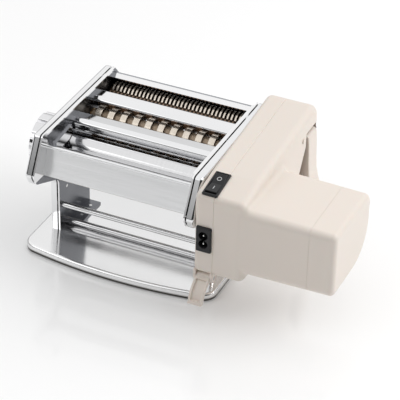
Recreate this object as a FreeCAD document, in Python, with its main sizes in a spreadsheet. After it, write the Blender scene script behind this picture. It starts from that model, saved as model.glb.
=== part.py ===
import FreeCAD, Part
import Sketcher
import math
import operator
import os

# Pasta machine with a clip-on motor: smooth rollers, a wide and a fine cutter between two steel
# cheeks on a pressed base, and a cream plastic motor unit on the right that turns all three sets.
# The frame: X runs along the rollers, Y to the back, Z up. The origin is on the table, under the
# middle of the rollers and of the two legs.

SIZES = {
    # pressed base plate and its rubber feet
    "base_half_width": "97.5",
    "base_half_depth": "61.5",
    "base_bow": "10.5",
    "base_corner": "14",
    "base_edge_round": "2.5",
    "base_rim": "7.5",
    "base_sheet": "1.2",
    "deck_height": "9",
    "foot_radius": "7.5",
    "foot_x": "80",
    "foot_y": "42",
    # side cheeks: a flat inner frame and a pressed outer cover of the same outline
    "inner_width": "149.2",
    "frame_sheet": "1.5",
    "frame_lip": "2.2",
    "cover_gap": "1.4",
    "cover_depth": "7",
    "cover_sheet": "1",
    "cover_round": "2.8",
    "cheek_top": "120.5",
    "cheek_front_y": "-58",
    "cheek_back_y": "84",
    "shoulder_y": "94",
    "shoulder_top": "109",
    "shoulder_low": "88",
    "back_under_y": "84",
    "back_under": "78",
    "leg_half_depth": "30",
    "leg_top": "58",
    "front_under_y": "-72",
    "front_under": "76",
    "front_low_y": "-77",
    "front_low": "86",
    "cheek_round": "4",
    "leg_round": "9",
    "foot_tab_length": "13",
    "foot_tab_front": "-8",
    "foot_tab_back": "28",
    # tie rods between the legs
    "rod_radius": "2.8",
    "upper_rod_y": "-24.6",
    "upper_rod_rise": "27",
    "lower_rod_y": "-14.4",
    "lower_rod_rise": "3.2",
    "rear_rod_y": "22",
    "nut_radius": "4.2",
    "nut_length": "3.6",
    "screw_radius": "1.5",
    "screw_head_radius": "3.2",
    "screw_head": "1.9",
    # smooth rollers
    "roller_radius": "14",
    "roller_y": "-33",
    "roller_rise": "80",
    "roller_gap_least": "0.2",
    "barrel_clearance": "2.3",
    "journal_radius": "4.5",
    "journal_clearance": "0.05",
    "bush_wall": "2",
    "bush_flange": "1.2",
    "bush_flange_thick": "1.1",
    "shaft_room": "2",
    # thickness adjuster of the rear roller
    "adjuster_throw": "1.155",
    "adjuster_sweep": "120",
    "spindle_radius": "4",
    "eccentric_radius": "5",
    "eccentric_clearance": "0.45",
    "sleeve_radius": "8",
    "sleeve_length": "10",
    "sleeve_inset": "2.3",
    "roller_web": "2",
    "neck_bore": "6",
    "neck_room": "0.5",
    "knob_boss": "3.6",
    "knob_boss_radius": "8",
    "knob_gap": "0.3",
    "knob_radius": "26",
    "knob_lobes": "10",
    "knob_slot_width": "3.6",
    "knob_slot_depth": "4.5",
    "knob_lobe_round": "1.5",
    "knob_neck": "3",
    "knob_neck_radius": "14",
    "knob_rim": "15",
    "knob_crown": "3",
    "knob_crown_radius": "19",
    "knob_pull": "3",
    # cutters
    "cutter_radius": "10",
    "cutter_core": "7",
    "cutter_spacing": "17.5",
    "cutter_clearance": "0.4",
    "fine_pitch": "4",
    "wide_pitch": "13",
    # pair gears under the left cover
    "pair_gear_gap": "1.4",
    "pair_gear_width": "4",
    "roller_gear_teeth": "15",
    "roller_gear_tip": "15.7",
    "roller_gear_root": "12.2",
    "cutter_gear_teeth": "14",
    "cutter_gear_tip": "9.9",
    "cutter_gear_root": "7.2",
    # front panel, feed chute, hoods and rear panel
    "panel_sheet": "1",
    "panel_top_y": "-51",
    "panel_top": "105.6",
    "panel_low_y": "-60",
    "panel_low": "79.8",
    "panel_fold": "5",
    "panel_bead": "1.7",
    "bead_proud": "1.2",
    "chute_top": "102.5",
    "chute_end_y": "-36.8",
    "chute_end": "95.2",
    "guide_thick": "1.8",
    "guide_front_y": "-36.4",
    "guide_back_y": "-6",
    "guide_front": "101.4",
    "guide_back": "104.7",
    "guide_low": "92",
    "hood_sheet": "1",
    "hood_round": "3.2",
    "front_hood_y": "-3.8",
    "front_hood_back_y": "15.6",
    "front_hood_top": "109.6",
    "front_hood_back": "107.6",
    "front_hood_skirt": "98.4",
    "rear_hood_y": "36.2",
    "rear_hood_back_y": "54",
    "rear_hood_top": "112.3",
    "rear_hood_back": "112",
    "rear_hood_skirt": "103.4",
    "hood_tail": "3",
    "rail_front_y": "77",
    "rail_back_y": "88",
    "rail_rise": "113",
    "rear_skirt_y": "92.3",
    "rear_skirt_top": "109",
    "rear_skirt_low": "88",
    # scrapers and combs under the rollers
    "scraper_thick": "1",
    "scraper_height": "8",
    "scraper_gap": "0.4",
    "comb_bar": "5",
    "comb_thick": "2",
    "comb_drop": "14.5",
    "comb_start": "2",
    "comb_finger": "2",
    # motor case
    "case_wall": "2.5",
    "case_inner_depth": "18.5",
    "case_depth": "48.5",
    "case_front_y": "-75",
    "case_back_y": "94",
    "case_floor": "32",
    "case_top_front": "115",
    "case_knee_y": "-40",
    "case_knee": "120.5",
    "case_top_back": "132.5",
    "case_back_low": "52",
    "case_floor_back_y": "62",
    "case_corner": "6",
    "case_back_corner": "12",
    "case_edge": "7",
    "case_inner_edge": "4.5",
    "seam_groove": "0.5",
    "barrel_start": "25",
    "barrel_length": "82.5",
    "cap_length": "25",
    "barrel_front_y": "-75",
    "barrel_back_y": "14",
    "barrel_low": "40.5",
    "barrel_top": "109",
    "barrel_taper": "1",
    "barrel_front_low_round": "9",
    "barrel_back_low_round": "38",
    "barrel_back_top_round": "14",
    "barrel_front_top_round": "8",
    "barrel_valley": "5",
    "cap_edge": "5",
    "cap_groove": "0.25",
    "vent_width": "3",
    "vent_length": "42",
    "vent_pitch": "6",
    "vent_count": "8",
    "boss_radius": "4",
    # gear train in the motor case
    "gear_module": "1",
    "gear_gap": "2.5",
    "gear_width": "8",
    "wheel_width": "5",
    "wheel_gap": "3.5",
    "drive_teeth": "40",
    "first_idler_teeth": "23",
    "cutter_drive_teeth": "24",
    "second_idler_teeth": "18",
    "wheel_teeth": "30",
    "pinion_teeth": "8",
    "first_line_angle": "12.2",
    "second_line_angle": "6.5",
    "wheel_angle": "-46",
    "motor_angle": "145",
    "axle_radius": "1.5",
    "plate_gap": "2",
    "plate_thick": "2",
    "can_radius": "28",
    "can_length": "74",
    "can_wall": "2",
    "can_nose": "2",
    "can_nose_radius": "8",
    "armature_radius": "19",
    "armature_length": "42",
    "commutator_radius": "9",
    "commutator_length": "12",
    "motor_shaft_radius": "2.5",
    # mains inlet and rocker switch
    "inlet_width": "14.6",
    "inlet_height": "26",
    "inlet_inset": "3.3",
    "inlet_rise": "70.2",
    "inlet_proud": "2.5",
    "inlet_depth": "16",
    "inlet_lip": "1.2",
    "inlet_recess": "9",
    "pin_spacing": "8.6",
    "pin_radius": "1.2",
    "pin_length": "8",
    "pin_well_radius": "4.4",
    "switch_inset": "5.4",
    "bezel_width": "14.8",
    "bezel_length": "31.5",
    "bezel_thick": "1.8",
    "bezel_rim": "1.8",
    "bezel_body_depth": "13",
    "bezel_ledge": "1.2",
    "rocker_gap": "0.2",
    "rocker_length": "25",
    "rocker_rise": "3",
    "rocker_dip": "1.2",
    "rocker_depth": "4",
    "rocker_stub_radius": "1",
    # lock levers
    "lever_pin_radius": "2",
    "lever_pin_room": "0.05",
    "front_lever_y": "-70",
    "front_lever_rise": "27",
    "lug_radius": "4.6",
    "lug_thick": "2.3",
    "lug_room": "0.3",
    "front_lever_bend": "24",
    "front_lever_sweep": "68",
    "front_lever_thick": "5",
    "lever_rim": "2",
    "lever_recess": "2",
    "rear_lever_inset": "3",
    "rear_lever_rise": "104",
    "recess_front_y": "64",
    "recess_foot_y": "47",
    "recess_foot": "71",
    "recess_shoulder": "99",
    "recess_back_y": "91",
    "recess_depth": "12",
    "recess_top": "113",
    "recess_low": "44",
    "stop_y": "57",
    "stop_rise": "109",
    "stop_radius": "2.6",
    "stop_height": "1.2",
    "rear_lever_width": "20",
    "rear_lever_length": "56",
    "rear_lever_thick": "10.8",
    "lever_round": "1.2",
}

doc = FreeCAD.newDocument("pasta_machine")
sheet = doc.addObject("Spreadsheet::Sheet", "Sizes")
for row, (alias, number) in enumerate(SIZES.items(), 1):
    sheet.set("A%d" % row, alias)
    sheet.set("B%d" % row, number)
    sheet.setAlias("B%d" % row, alias)
doc.recompute()

SIGNS = {"+": operator.add, "-": operator.sub, "*": operator.mul, "/": operator.truediv}
ALONG_X = FreeCAD.Vector(1, 0, 0)
TILT_TO_Z = FreeCAD.Rotation(FreeCAD.Vector(0, 1, 0), -90)
TILT_TO_Y = FreeCAD.Rotation(FreeCAD.Vector(0, 0, 1), 90)
FULL_TURN = 360
HALF_TURN = 180


class Size:
    """A number from the sheet, or one worked out from such numbers, with its expression."""

    def __init__(self, value, text):
        self.value = value
        self.text = text

    def __add__(self, other):
        return combine(self, "+", other)

    def __radd__(self, other):
        return combine(other, "+", self)

    def __sub__(self, other):
        return combine(self, "-", other)

    def __rsub__(self, other):
        return combine(other, "-", self)

    def __mul__(self, other):
        return combine(self, "*", other)

    def __rmul__(self, other):
        return combine(other, "*", self)

    def __truediv__(self, other):
        return combine(self, "/", other)

    def __rtruediv__(self, other):
        return combine(other, "/", self)

    def __neg__(self):
        return combine(0, "-", self)


def as_size(number):
    if isinstance(number, Size):
        return number
    return Size(float(number), "(%r)" % float(number))


def combine(left, sign, right):
    left = as_size(left)
    right = as_size(right)
    return Size(SIGNS[sign](left.value, right.value), "(%s %s %s)" % (left.text, sign, right.text))


def cosine(angle):
    return Size(math.cos(math.radians(angle.value)), "cos(%s)" % angle.text)


def sine(angle):
    return Size(math.sin(math.radians(angle.value)), "sin(%s)" % angle.text)


def tangent(angle):
    return Size(math.tan(math.radians(angle.value)), "tan(%s)" % angle.text)


def whole(number):
    return Size(math.floor(number.value), "floor(%s)" % number.text)


def slope_angle(rise, run):
    ratio = rise / run
    return Size(math.degrees(math.atan(ratio.value)), "atan(%s)" % ratio.text)


class Sheet:
    """The sheet's numbers as attributes."""

    def __getattr__(self, alias):
        return Size(float(sheet.get(alias)), "Sizes." + alias)


s = Sheet()


def bind(thing, path, number):
    thing.setExpression(path, as_size(number).text)


def place(thing, x, y, z, turn=None, axis=ALONG_X):
    if turn is not None:
        thing.Placement = FreeCAD.Placement(FreeCAD.Vector(), FreeCAD.Rotation(axis, as_size(turn).value))
        bind(thing, "Placement.Rotation.Angle", turn)
    bind(thing, "Placement.Base.x", x)
    bind(thing, "Placement.Base.y", y)
    bind(thing, "Placement.Base.z", z)


def new_body(name, x=0, y=0, z=0, turn=None):
    body = doc.addObject("PartDesign::Body", name)
    body.Label = name
    place(body, x, y, z, turn)
    return body


def origin_feature(body, role):
    return next(feature for feature in body.Origin.OriginFeatures if feature.Role == role)


def new_sketch(body, plane, depth=0):
    sketch = body.newObject("Sketcher::SketchObject", body.Name + "_sketch")
    sketch.AttachmentSupport = [(origin_feature(body, plane + "_Plane"), "")]
    sketch.MapMode = "FlatFace"
    bind(sketch, "AttachmentOffset.Base.z", depth)
    return sketch


def hold(sketch, kind, number, *targets):
    number = as_size(number)
    index = sketch.addConstraint(Sketcher.Constraint(kind, *targets, number.value))
    sketch.setExpression("Constraints[%d]" % index, number.text)


def hold_point(sketch, geometry, point, u, v):
    hold(sketch, "DistanceX", u, -1, 1, geometry, point)
    hold(sketch, "DistanceY", v, -1, 1, geometry, point)


def polygon(sketch, points):
    first = sketch.GeometryCount
    corners = [FreeCAD.Vector(as_size(u).value, as_size(v).value, 0) for u, v in points]
    following = [*range(1, len(points)), 0]
    for here, after in enumerate(following):
        sketch.addGeometry(Part.LineSegment(corners[here], corners[after]), False)
    for here, after in enumerate(following):
        sketch.addConstraint(Sketcher.Constraint("Coincident", first + here, 2, first + after, 1))
        hold_point(sketch, first + here, 1, *points[here])
    return sketch


def rectangle(sketch, u_low, v_low, u_high, v_high):
    return polygon(sketch, [(u_low, v_low), (u_high, v_low), (u_high, v_high), (u_low, v_high)])


def rounded_rectangle(sketch, u_low, v_low, u_high, v_high, radii):
    """A rectangle with its own radius at each corner, from the low one round by the high u side."""
    first = sketch.GeometryCount
    low_low, high_low, high_high, low_high = radii
    sides = [((u_low + low_low, v_low), (u_high - high_low, v_low)),
             ((u_high, v_low + high_low), (u_high, v_high - high_high)),
             ((u_high - high_high, v_high), (u_low + low_high, v_high)),
             ((u_low, v_high - low_high), (u_low, v_low + low_low))]
    centres = [(u_high - high_low, v_low + high_low), (u_high - high_high, v_high - high_high),
               (u_low + low_high, v_high - low_high), (u_low + low_low, v_low + low_low)]
    for ends in sides:
        start, end = [FreeCAD.Vector(u.value, v.value, 0) for u, v in ends]
        sketch.addGeometry(Part.LineSegment(start, end), False)
    corner_radii = [high_low, high_high, low_high, low_low]
    for quarter, ((u, v), radius) in enumerate(zip(centres, corner_radii)):
        round_shape = Part.Circle(FreeCAD.Vector(u.value, v.value, 0), FreeCAD.Vector(0, 0, 1), radius.value)
        start_angle = math.radians(90 * quarter - 90)
        sketch.addGeometry(Part.ArcOfCircle(round_shape, start_angle, start_angle + math.pi / 2), False)
    for side, (start, end) in enumerate(sides):
        hold_point(sketch, first + side, 1, *start)
        hold_point(sketch, first + side, 2, *end)
    for side, after in enumerate((1, 2, 3, 0)):
        arc = first + 4 + side
        sketch.addConstraint(Sketcher.Constraint("Coincident", arc, 1, first + side, 2))
        sketch.addConstraint(Sketcher.Constraint("Coincident", arc, 2, first + after, 1))
        hold(sketch, "Radius", corner_radii[side], arc)
    return sketch


def circle(sketch, u, v, radius):
    centre = FreeCAD.Vector(as_size(u).value, as_size(v).value, 0)
    shape = Part.Circle(centre, FreeCAD.Vector(0, 0, 1), as_size(radius).value)
    index = sketch.addGeometry(shape, False)
    hold_point(sketch, index, 3, u, v)
    hold(sketch, "Radius", radius, index)
    return sketch


def pad(body, sketch, length, backward=False, both_ways=False, taper=None):
    feature = body.newObject("PartDesign::Pad", body.Name + "_pad")
    feature.Profile = sketch
    feature.Reversed = backward
    feature.Midplane = both_ways
    bind(feature, "Length", length)
    if taper is not None:
        bind(feature, "TaperAngle", -taper)
    return feature


def cut(body, sketch, length, forward=True, both_ways=False):
    feature = body.newObject("PartDesign::Pocket", body.Name + "_cut")
    feature.Profile = sketch
    feature.Reversed = forward
    feature.Midplane = both_ways
    bind(feature, "Length", length)
    return feature


def turn_about_x(body, sketch):
    feature = body.newObject("PartDesign::Revolution", body.Name + "_turned")
    feature.Profile = sketch
    feature.ReferenceAxis = (origin_feature(body, "X_Axis"), [""])
    feature.Angle = FULL_TURN
    return feature


def repeat_round(body, feature, count):
    pattern = body.newObject("PartDesign::PolarPattern", body.Name + "_round")
    pattern.Originals = [feature]
    pattern.Axis = (origin_feature(body, "X_Axis"), [""])
    pattern.Angle = FULL_TURN
    bind(pattern, "Occurrences", count)
    body.Tip = pattern
    return pattern


def repeat_along_x(body, feature, count, pitch):
    pattern = body.newObject("PartDesign::LinearPattern", body.Name + "_row")
    pattern.Originals = [feature]
    pattern.Direction = (origin_feature(body, "X_Axis"), [""])
    bind(pattern, "Length", pitch * (count - 1))
    bind(pattern, "Occurrences", count)
    body.Tip = pattern
    return pattern


def dress(body, kind, path, number, chosen):
    doc.recompute()
    base = body.Tip
    names = ["Edge%d" % n for n, edge in enumerate(base.Shape.Edges, 1) if chosen(edge)]
    feature = body.newObject(kind, body.Name + "_edges")
    feature.Base = (base, names)
    bind(feature, path, number)
    return feature


def round_edges(body, radius, chosen):
    return dress(body, "PartDesign::Fillet", "Radius", radius, chosen)


def bevel_edges(body, width, chosen):
    return dress(body, "PartDesign::Chamfer", "Size", width, chosen)


def hollow(body, wall, open_face):
    doc.recompute()
    base = body.Tip
    names = ["Face%d" % n for n, face in enumerate(base.Shape.Faces, 1) if open_face(face)]
    feature = body.newObject("PartDesign::Thickness", body.Name + "_shell")
    feature.Base = (base, names)
    feature.Reversed = True
    bind(feature, "Value", wall)
    return feature


def middle(edge):
    return edge.valueAt((edge.FirstParameter + edge.LastParameter) / 2)


def runs_along(axis, slack=0.05):
    def chosen(edge):
        direction = edge.valueAt(edge.LastParameter) - edge.valueAt(edge.FirstParameter)
        if direction.Length < slack or abs(direction.Length - edge.Length) > slack:
            return False
        return abs(abs(direction.normalize().dot(axis)) - 1) < slack * slack
    return chosen


def lies_at(axis, number, slack=0.01):
    place_along = as_size(number).value

    def chosen(edge):
        box = edge.BoundBox
        low = FreeCAD.Vector(box.XMin, box.YMin, box.ZMin).dot(axis)
        high = FreeCAD.Vector(box.XMax, box.YMax, box.ZMax).dot(axis)
        return abs(low - place_along) < slack and abs(high - place_along) < slack
    return chosen


def turned(name, profile, x=0, y=0, z=0, rotation=None):
    """A piece turned about its own X axis from a profile of lengths along it and radii."""
    body = new_body(name, x, y, z)
    if rotation is not None:
        body.Placement = FreeCAD.Placement(FreeCAD.Vector(), rotation)
        place(body, x, y, z)
    turn_about_x(body, polygon(new_sketch(body, "XY"), profile))
    return body


def tube(start, end, bore, radius):
    return [(start, bore), (end, bore), (end, radius), (start, radius)]


def extruded(name, points, start, length, x=0, y=0, z=0):
    """A piece of one outline across the machine, extruded along X."""
    body = new_body(name, x, y, z)
    pad(body, polygon(new_sketch(body, "YZ", start), points), length)
    return body


def group(name, bodies):
    node = doc.addObject("Part::Compound", name)
    node.Label = name
    node.Links = bodies
    return node


NODES = []


def node(piece):
    NODES.append(piece)
    return piece


# Heights and places that several pieces share

ALONG_Z = FreeCAD.Vector(0, 0, 1)
ALONG_Y = FreeCAD.Vector(0, 1, 0)
deck = s.deck_height
half_inner = s.inner_width / 2
frame_out = half_inner + s.frame_sheet
cover_in = frame_out + s.cover_gap
cover_out = cover_in + s.cover_depth
barrel_half = half_inner - s.barrel_clearance
bush_radius = s.journal_radius + s.bush_wall
shaft_hole = s.journal_radius + s.shaft_room

roller_z = deck + s.roller_rise
travel = 2 * s.adjuster_throw * sine(s.adjuster_sweep / 2)
rear_roller_y = s.roller_y + 2 * s.roller_radius + s.roller_gap_least + travel
spindle_y = rear_roller_y - travel / 2
eccentric_start = (HALF_TURN - s.adjuster_sweep) / 2
eccentric_lift = s.adjuster_throw * (1 + sine(eccentric_start)) / 2
spindle_z = roller_z - eccentric_lift


def pitch_radius(teeth):
    return s.gear_module * teeth / 2


def step_from(y, z, first_teeth, second_teeth, angle):
    reach = pitch_radius(first_teeth) + pitch_radius(second_teeth)
    return y + reach * cosine(angle), z + reach * sine(angle)


first_idler_y, first_idler_z = step_from(
    s.roller_y, roller_z, s.drive_teeth, s.first_idler_teeth, s.first_line_angle)
wide_y, wide_z = step_from(
    first_idler_y, first_idler_z, s.first_idler_teeth, s.cutter_drive_teeth, s.first_line_angle)
second_idler_y, second_idler_z = step_from(
    wide_y, wide_z, s.cutter_drive_teeth, s.second_idler_teeth, s.second_line_angle)
fine_y, fine_z = step_from(
    second_idler_y, second_idler_z, s.second_idler_teeth, s.cutter_drive_teeth, s.second_line_angle)
wheel_y, wheel_z = step_from(s.roller_y, roller_z, s.drive_teeth, s.pinion_teeth, s.wheel_angle)
motor_y, motor_z = step_from(wheel_y, wheel_z, s.wheel_teeth, s.pinion_teeth, s.motor_angle)

wide_rear_y = wide_y + s.cutter_spacing
fine_rear_y = fine_y + s.cutter_spacing
upper_rod_z = deck + s.upper_rod_rise
lower_rod_z = deck + s.lower_rod_rise

driven_shafts = [(s.roller_y, roller_z), (wide_y, wide_z), (fine_y, fine_z)]
free_shafts = [(wide_rear_y, wide_z), (fine_rear_y, fine_z)]
rods = [(s.upper_rod_y, upper_rod_z), (s.lower_rod_y, lower_rod_z), (s.rear_rod_y, upper_rod_z)]

# Base plate: one pressed sheet with bowed front and back edges and a turned-down rim

base_plate = new_body("base_plate")
outline = new_sketch(base_plate, "XY", deck - s.base_rim)
w, d, bow = s.base_half_width, s.base_half_depth, s.base_bow
arc_radius = (w * w + bow * bow) / (2 * bow)
for sign in (-1, 1):
    edge_y = sign * d.value
    start, top, end = [FreeCAD.Vector(x, y, 0) for x, y in (
        (-w.value, edge_y), (0, edge_y + sign * bow.value), (w.value, edge_y))]
    outline.addGeometry(Part.Arc(start, top, end), False)
for sign in (-1, 1):
    low, high = [FreeCAD.Vector(sign * w.value, y, 0) for y in (-d.value, d.value)]
    outline.addGeometry(Part.LineSegment(low, high), False)
hold_point(outline, 2, 1, -w, -d)
hold_point(outline, 2, 2, -w, d)
hold_point(outline, 3, 1, w, -d)
hold_point(outline, 3, 2, w, d)
for arc, left_end, right_end, corner in ((0, 1, 2, 1), (1, 2, 1, 2)):
    outline.addConstraint(Sketcher.Constraint("Coincident", arc, left_end, 2, corner))
    outline.addConstraint(Sketcher.Constraint("Coincident", arc, right_end, 3, corner))
    hold(outline, "Radius", arc_radius, arc)
pad(base_plate, outline, s.base_rim)
round_edges(base_plate, s.base_corner, runs_along(ALONG_Z))
round_edges(base_plate, s.base_edge_round, lies_at(ALONG_Z, deck))
hollow(base_plate, s.base_sheet, lambda face: lies_at(ALONG_Z, deck - s.base_rim)(face))
tab_middle = half_inner - s.foot_tab_length / 2
tab_length = s.foot_tab_back - s.foot_tab_front
foot_screws = [(sign * tab_middle, s.foot_tab_front + tab_length * share)
               for sign in (-1, 1) for share in (0.25, 0.75)]
holes = new_sketch(base_plate, "XY", deck)
for x, y in foot_screws:
    circle(holes, x, y, s.screw_radius)
cut(base_plate, holes, s.base_sheet * 2, forward=False)
node(base_plate)

foot_top = deck - s.base_sheet
feet = [turned("foot", [(0, 0), (foot_top, 0), (foot_top, s.foot_radius), (0, s.foot_radius - 1)],
               x * s.foot_x, y * s.foot_y, 0, TILT_TO_Z)
        for x in (-1, 1) for y in (-1, 1)]
node(group("base_feet", feet))

# Cheeks: each side has a flat frame that carries the shafts and a pressed cover over it

cheek_outline = [
    (s.cheek_front_y, deck + s.cheek_top), (s.cheek_back_y, deck + s.cheek_top),
    (s.shoulder_y, deck + s.shoulder_top), (s.shoulder_y, deck + s.shoulder_low),
    (s.back_under_y, deck + s.back_under), (s.leg_half_depth, deck + s.leg_top),
    (s.leg_half_depth, deck), (-s.leg_half_depth, deck),
    (-s.leg_half_depth, deck + s.leg_top), (s.front_under_y, deck + s.front_under),
    (s.front_low_y, deck + s.front_low)]


def is_leg_corner(edge):
    point = middle(edge)
    return abs(abs(point.y) - s.leg_half_depth.value) < 0.01


def is_leg_top(edge):
    return runs_along(ALONG_X)(edge) and is_leg_corner(edge) and middle(edge).z > deck.value + 1


def is_cheek_corner(edge):
    return runs_along(ALONG_X)(edge) and not is_leg_corner(edge)


def round_cheek(body):
    round_edges(body, s.cheek_round, is_cheek_corner)
    round_edges(body, s.leg_round, is_leg_top)


cover_screws = [(s.cheek_front_y + 8, deck + s.cheek_top - 13), (s.cheek_back_y - 16, deck + s.cheek_top - 7),
                (-s.leg_half_depth / 2, deck + 42), (s.leg_half_depth / 2, deck + 42)]


def frame(name, side, large_holes, small_holes):
    body = new_body(name)
    start = half_inner if side > 0 else -frame_out
    pad(body, polygon(new_sketch(body, "YZ", start), cheek_outline), s.frame_sheet)
    round_cheek(body)
    inner_face = side * half_inner
    tab = new_sketch(body, "XY", deck)
    tip = inner_face - side * s.foot_tab_length
    low, high = (tip, inner_face) if side > 0 else (inner_face, tip)
    rectangle(tab, low, s.foot_tab_front, high, s.foot_tab_back)
    pad(body, tab, s.frame_sheet)
    lip_start = half_inner - s.frame_lip if side > 0 else -half_inner
    lip_end = s.cheek_round + s.frame_lip
    lip_under = deck + s.cheek_top - s.frame_sheet
    lip = rectangle(new_sketch(body, "YZ", lip_start), s.cheek_front_y + lip_end, lip_under,
                    s.cheek_back_y - lip_end, deck + s.cheek_top)
    pad(body, lip, s.frame_lip)
    holes = new_sketch(body, "YZ", start)
    for y, z in driven_shafts + free_shafts:
        circle(holes, y, z, bush_radius)
    for y, z, radius in large_holes + small_holes:
        circle(holes, y, z, radius)
    for y, z in rods:
        circle(holes, y, z, s.rod_radius)
    cut(body, holes, s.frame_sheet)
    tab_holes = new_sketch(body, "XY", deck)
    for x, y in foot_screws:
        if as_size(x).value * side > 0:
            circle(tab_holes, x, y, s.screw_radius)
    cut(body, tab_holes, s.frame_sheet)
    return node(body)


neck_hole = s.sleeve_radius + travel / 2 + s.neck_room
spindle_hole = s.spindle_radius + s.journal_clearance
frame("left_frame", -1, [(rear_roller_y - travel / 2, roller_z, neck_hole)],
      [(y, z, s.screw_radius) for y, z in cover_screws])
frame("right_frame", 1, [(spindle_y, spindle_z, spindle_hole)], [])


def cover(name, side):
    body = new_body(name)
    start = cover_in if side > 0 else -cover_out
    pad(body, polygon(new_sketch(body, "YZ", start), cheek_outline), s.cover_depth)
    round_cheek(body)
    round_edges(body, s.cover_round, lies_at(ALONG_X, side * cover_out))
    hollow(body, s.cover_sheet, lambda face: lies_at(ALONG_X, side * cover_in)(face))
    return node(body)


left_cover = cover("left_cover", -1)
boss = circle(new_sketch(left_cover, "YZ", -cover_out), spindle_y, spindle_z, s.knob_boss_radius)
pad(left_cover, boss, s.knob_boss, backward=True)
left_holes = new_sketch(left_cover, "YZ", -cover_out - s.knob_boss)
circle(left_holes, spindle_y, spindle_z, spindle_hole)
for y, z in cover_screws:
    circle(left_holes, y, z, s.screw_radius)
cut(left_cover, left_holes, s.knob_boss + s.cover_sheet)

right_cover = cover("right_cover", 1)
right_holes = new_sketch(right_cover, "YZ", cover_out)
for y, z in driven_shafts:
    circle(right_holes, y, z, shaft_hole)
cut(right_cover, right_holes, s.cover_sheet, forward=False)

# Fasteners of the cheeks

cover_screw_bodies = [
    turned("cover_screw", [(-s.screw_head, 0), (cover_out - half_inner, 0),
                           (cover_out - half_inner, s.screw_radius), (0, s.screw_radius),
                           (0, s.screw_head_radius), (-s.screw_head, s.screw_head_radius * 0.7)],
           -cover_out, y, z)
    for y, z in cover_screws]
node(group("cover_screws", cover_screw_bodies))

screw_under = -s.base_sheet - s.screw_head
foot_screw_bodies = [
    turned("foot_screw", [(screw_under, 0), (s.frame_sheet, 0), (s.frame_sheet, s.screw_radius),
                          (-s.base_sheet, s.screw_radius), (-s.base_sheet, s.screw_head_radius),
                          (screw_under, s.screw_head_radius * 0.7)], x, y, deck, TILT_TO_Z)
    for x, y in foot_screws]
node(group("foot_screws", foot_screw_bodies))

# Tie rods: the upper pair is threaded and nutted behind the covers, the lower rod is swaged

nutted_half = frame_out + s.nut_length


def rod(name, half, y, z):
    return turned(name, [(-half, 0), (half, 0), (half, s.rod_radius), (-half, s.rod_radius)], 0, y, z)


node(group("upper_tie_rods", [rod("upper_rod", nutted_half, y, z) for y, z in (rods[0], rods[2])]))
node(rod("lower_tie_rod", frame_out, *rods[1]))


def hex_nut(y, z, start):
    body = new_body("rod_nut", start, y, z)
    corners = [as_size(FULL_TURN / 6 * k) for k in range(6)]
    face = polygon(new_sketch(body, "YZ"),
                   [(s.nut_radius * cosine(a), s.nut_radius * sine(a)) for a in corners])
    circle(face, 0, 0, s.rod_radius)
    pad(body, face, s.nut_length)
    return body


nut_starts = (frame_out, -frame_out - s.nut_length)
nuts = [hex_nut(y, z, start) for y, z in (rods[0], rods[2]) for start in nut_starts]
node(group("tie_rod_nuts", nuts))

# Front panel with a rolled top bead and a folded lower edge

t = s.panel_sheet
panel_top_z = deck + s.panel_top
panel_low_z = deck + s.panel_low
front_panel = extruded("front_panel", [
    (s.panel_top_y, panel_top_z), (s.panel_low_y, panel_low_z),
    (s.panel_low_y + s.panel_fold, panel_low_z - t), (s.panel_low_y + s.panel_fold, panel_low_z),
    (s.panel_low_y + t * 1.2, panel_low_z + t), (s.panel_top_y + t * 1.2, panel_top_z)],
    -half_inner, s.inner_width)
bead = circle(new_sketch(front_panel, "YZ", -half_inner),
              s.panel_top_y + s.panel_bead - s.bead_proud, panel_top_z, s.panel_bead)
pad(front_panel, bead, s.inner_width)
node(front_panel)

# Feed chute from the panel's bead down to the front roller

panel_lean = (s.panel_top_y - s.panel_low_y) / (s.panel_top - s.panel_low)
chute_top_z = deck + s.chute_top
chute_top_y = s.panel_top_y + t * 1.2 - (s.panel_top - s.chute_top) * panel_lean
node(extruded("feed_chute", [
    (chute_top_y, chute_top_z), (chute_top_y - t * panel_lean, chute_top_z - t),
    (s.chute_end_y, deck + s.chute_end), (s.chute_end_y, deck + s.chute_end + t)],
    -half_inner, s.inner_width))

# Side guides that keep the dough off the frames, one on each inner face

guide_outline = [
    (s.guide_front_y, deck + s.guide_front), (s.guide_front_y, deck + s.guide_low),
    (s.guide_back_y, deck + s.guide_low), (s.guide_back_y, deck + s.guide_back)]
guides = [extruded("side_guide", guide_outline, start, s.guide_thick)
          for start in (-half_inner, half_inner - s.guide_thick)]
node(group("side_guides", guides))


# Hoods: polished channels over the space between one roller set and the next

def hood(name, front_y, back_y, top, back, skirt):
    outline = [
        (front_y + 1, deck + skirt), (back_y + 1, deck + skirt + s.hood_tail),
        (back_y, deck + back), (front_y + 4.5, deck + top), (front_y, deck + top - 2.5)]
    body = extruded(name, outline, -half_inner, s.inner_width)
    low = deck.value + skirt.value + s.hood_tail.value
    round_edges(body, s.hood_round, lambda e: runs_along(ALONG_X)(e) and middle(e).z > low + 0.1)
    is_end = lambda face: abs(abs(face.CenterOfMass.x) - half_inner.value) < 0.01
    is_under = lambda face: face.normalAt(0, 0).z < -0.9
    hollow(body, s.hood_sheet, lambda face: is_end(face) or is_under(face))
    return node(body)


hood("front_hood", s.front_hood_y, s.front_hood_back_y, s.front_hood_top,
     s.front_hood_back, s.front_hood_skirt)
hood("rear_hood", s.rear_hood_y, s.rear_hood_back_y, s.rear_hood_top,
     s.rear_hood_back, s.rear_hood_skirt)

# Rear panel: a top rail behind the fine cutter and a skirt down the back

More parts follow.
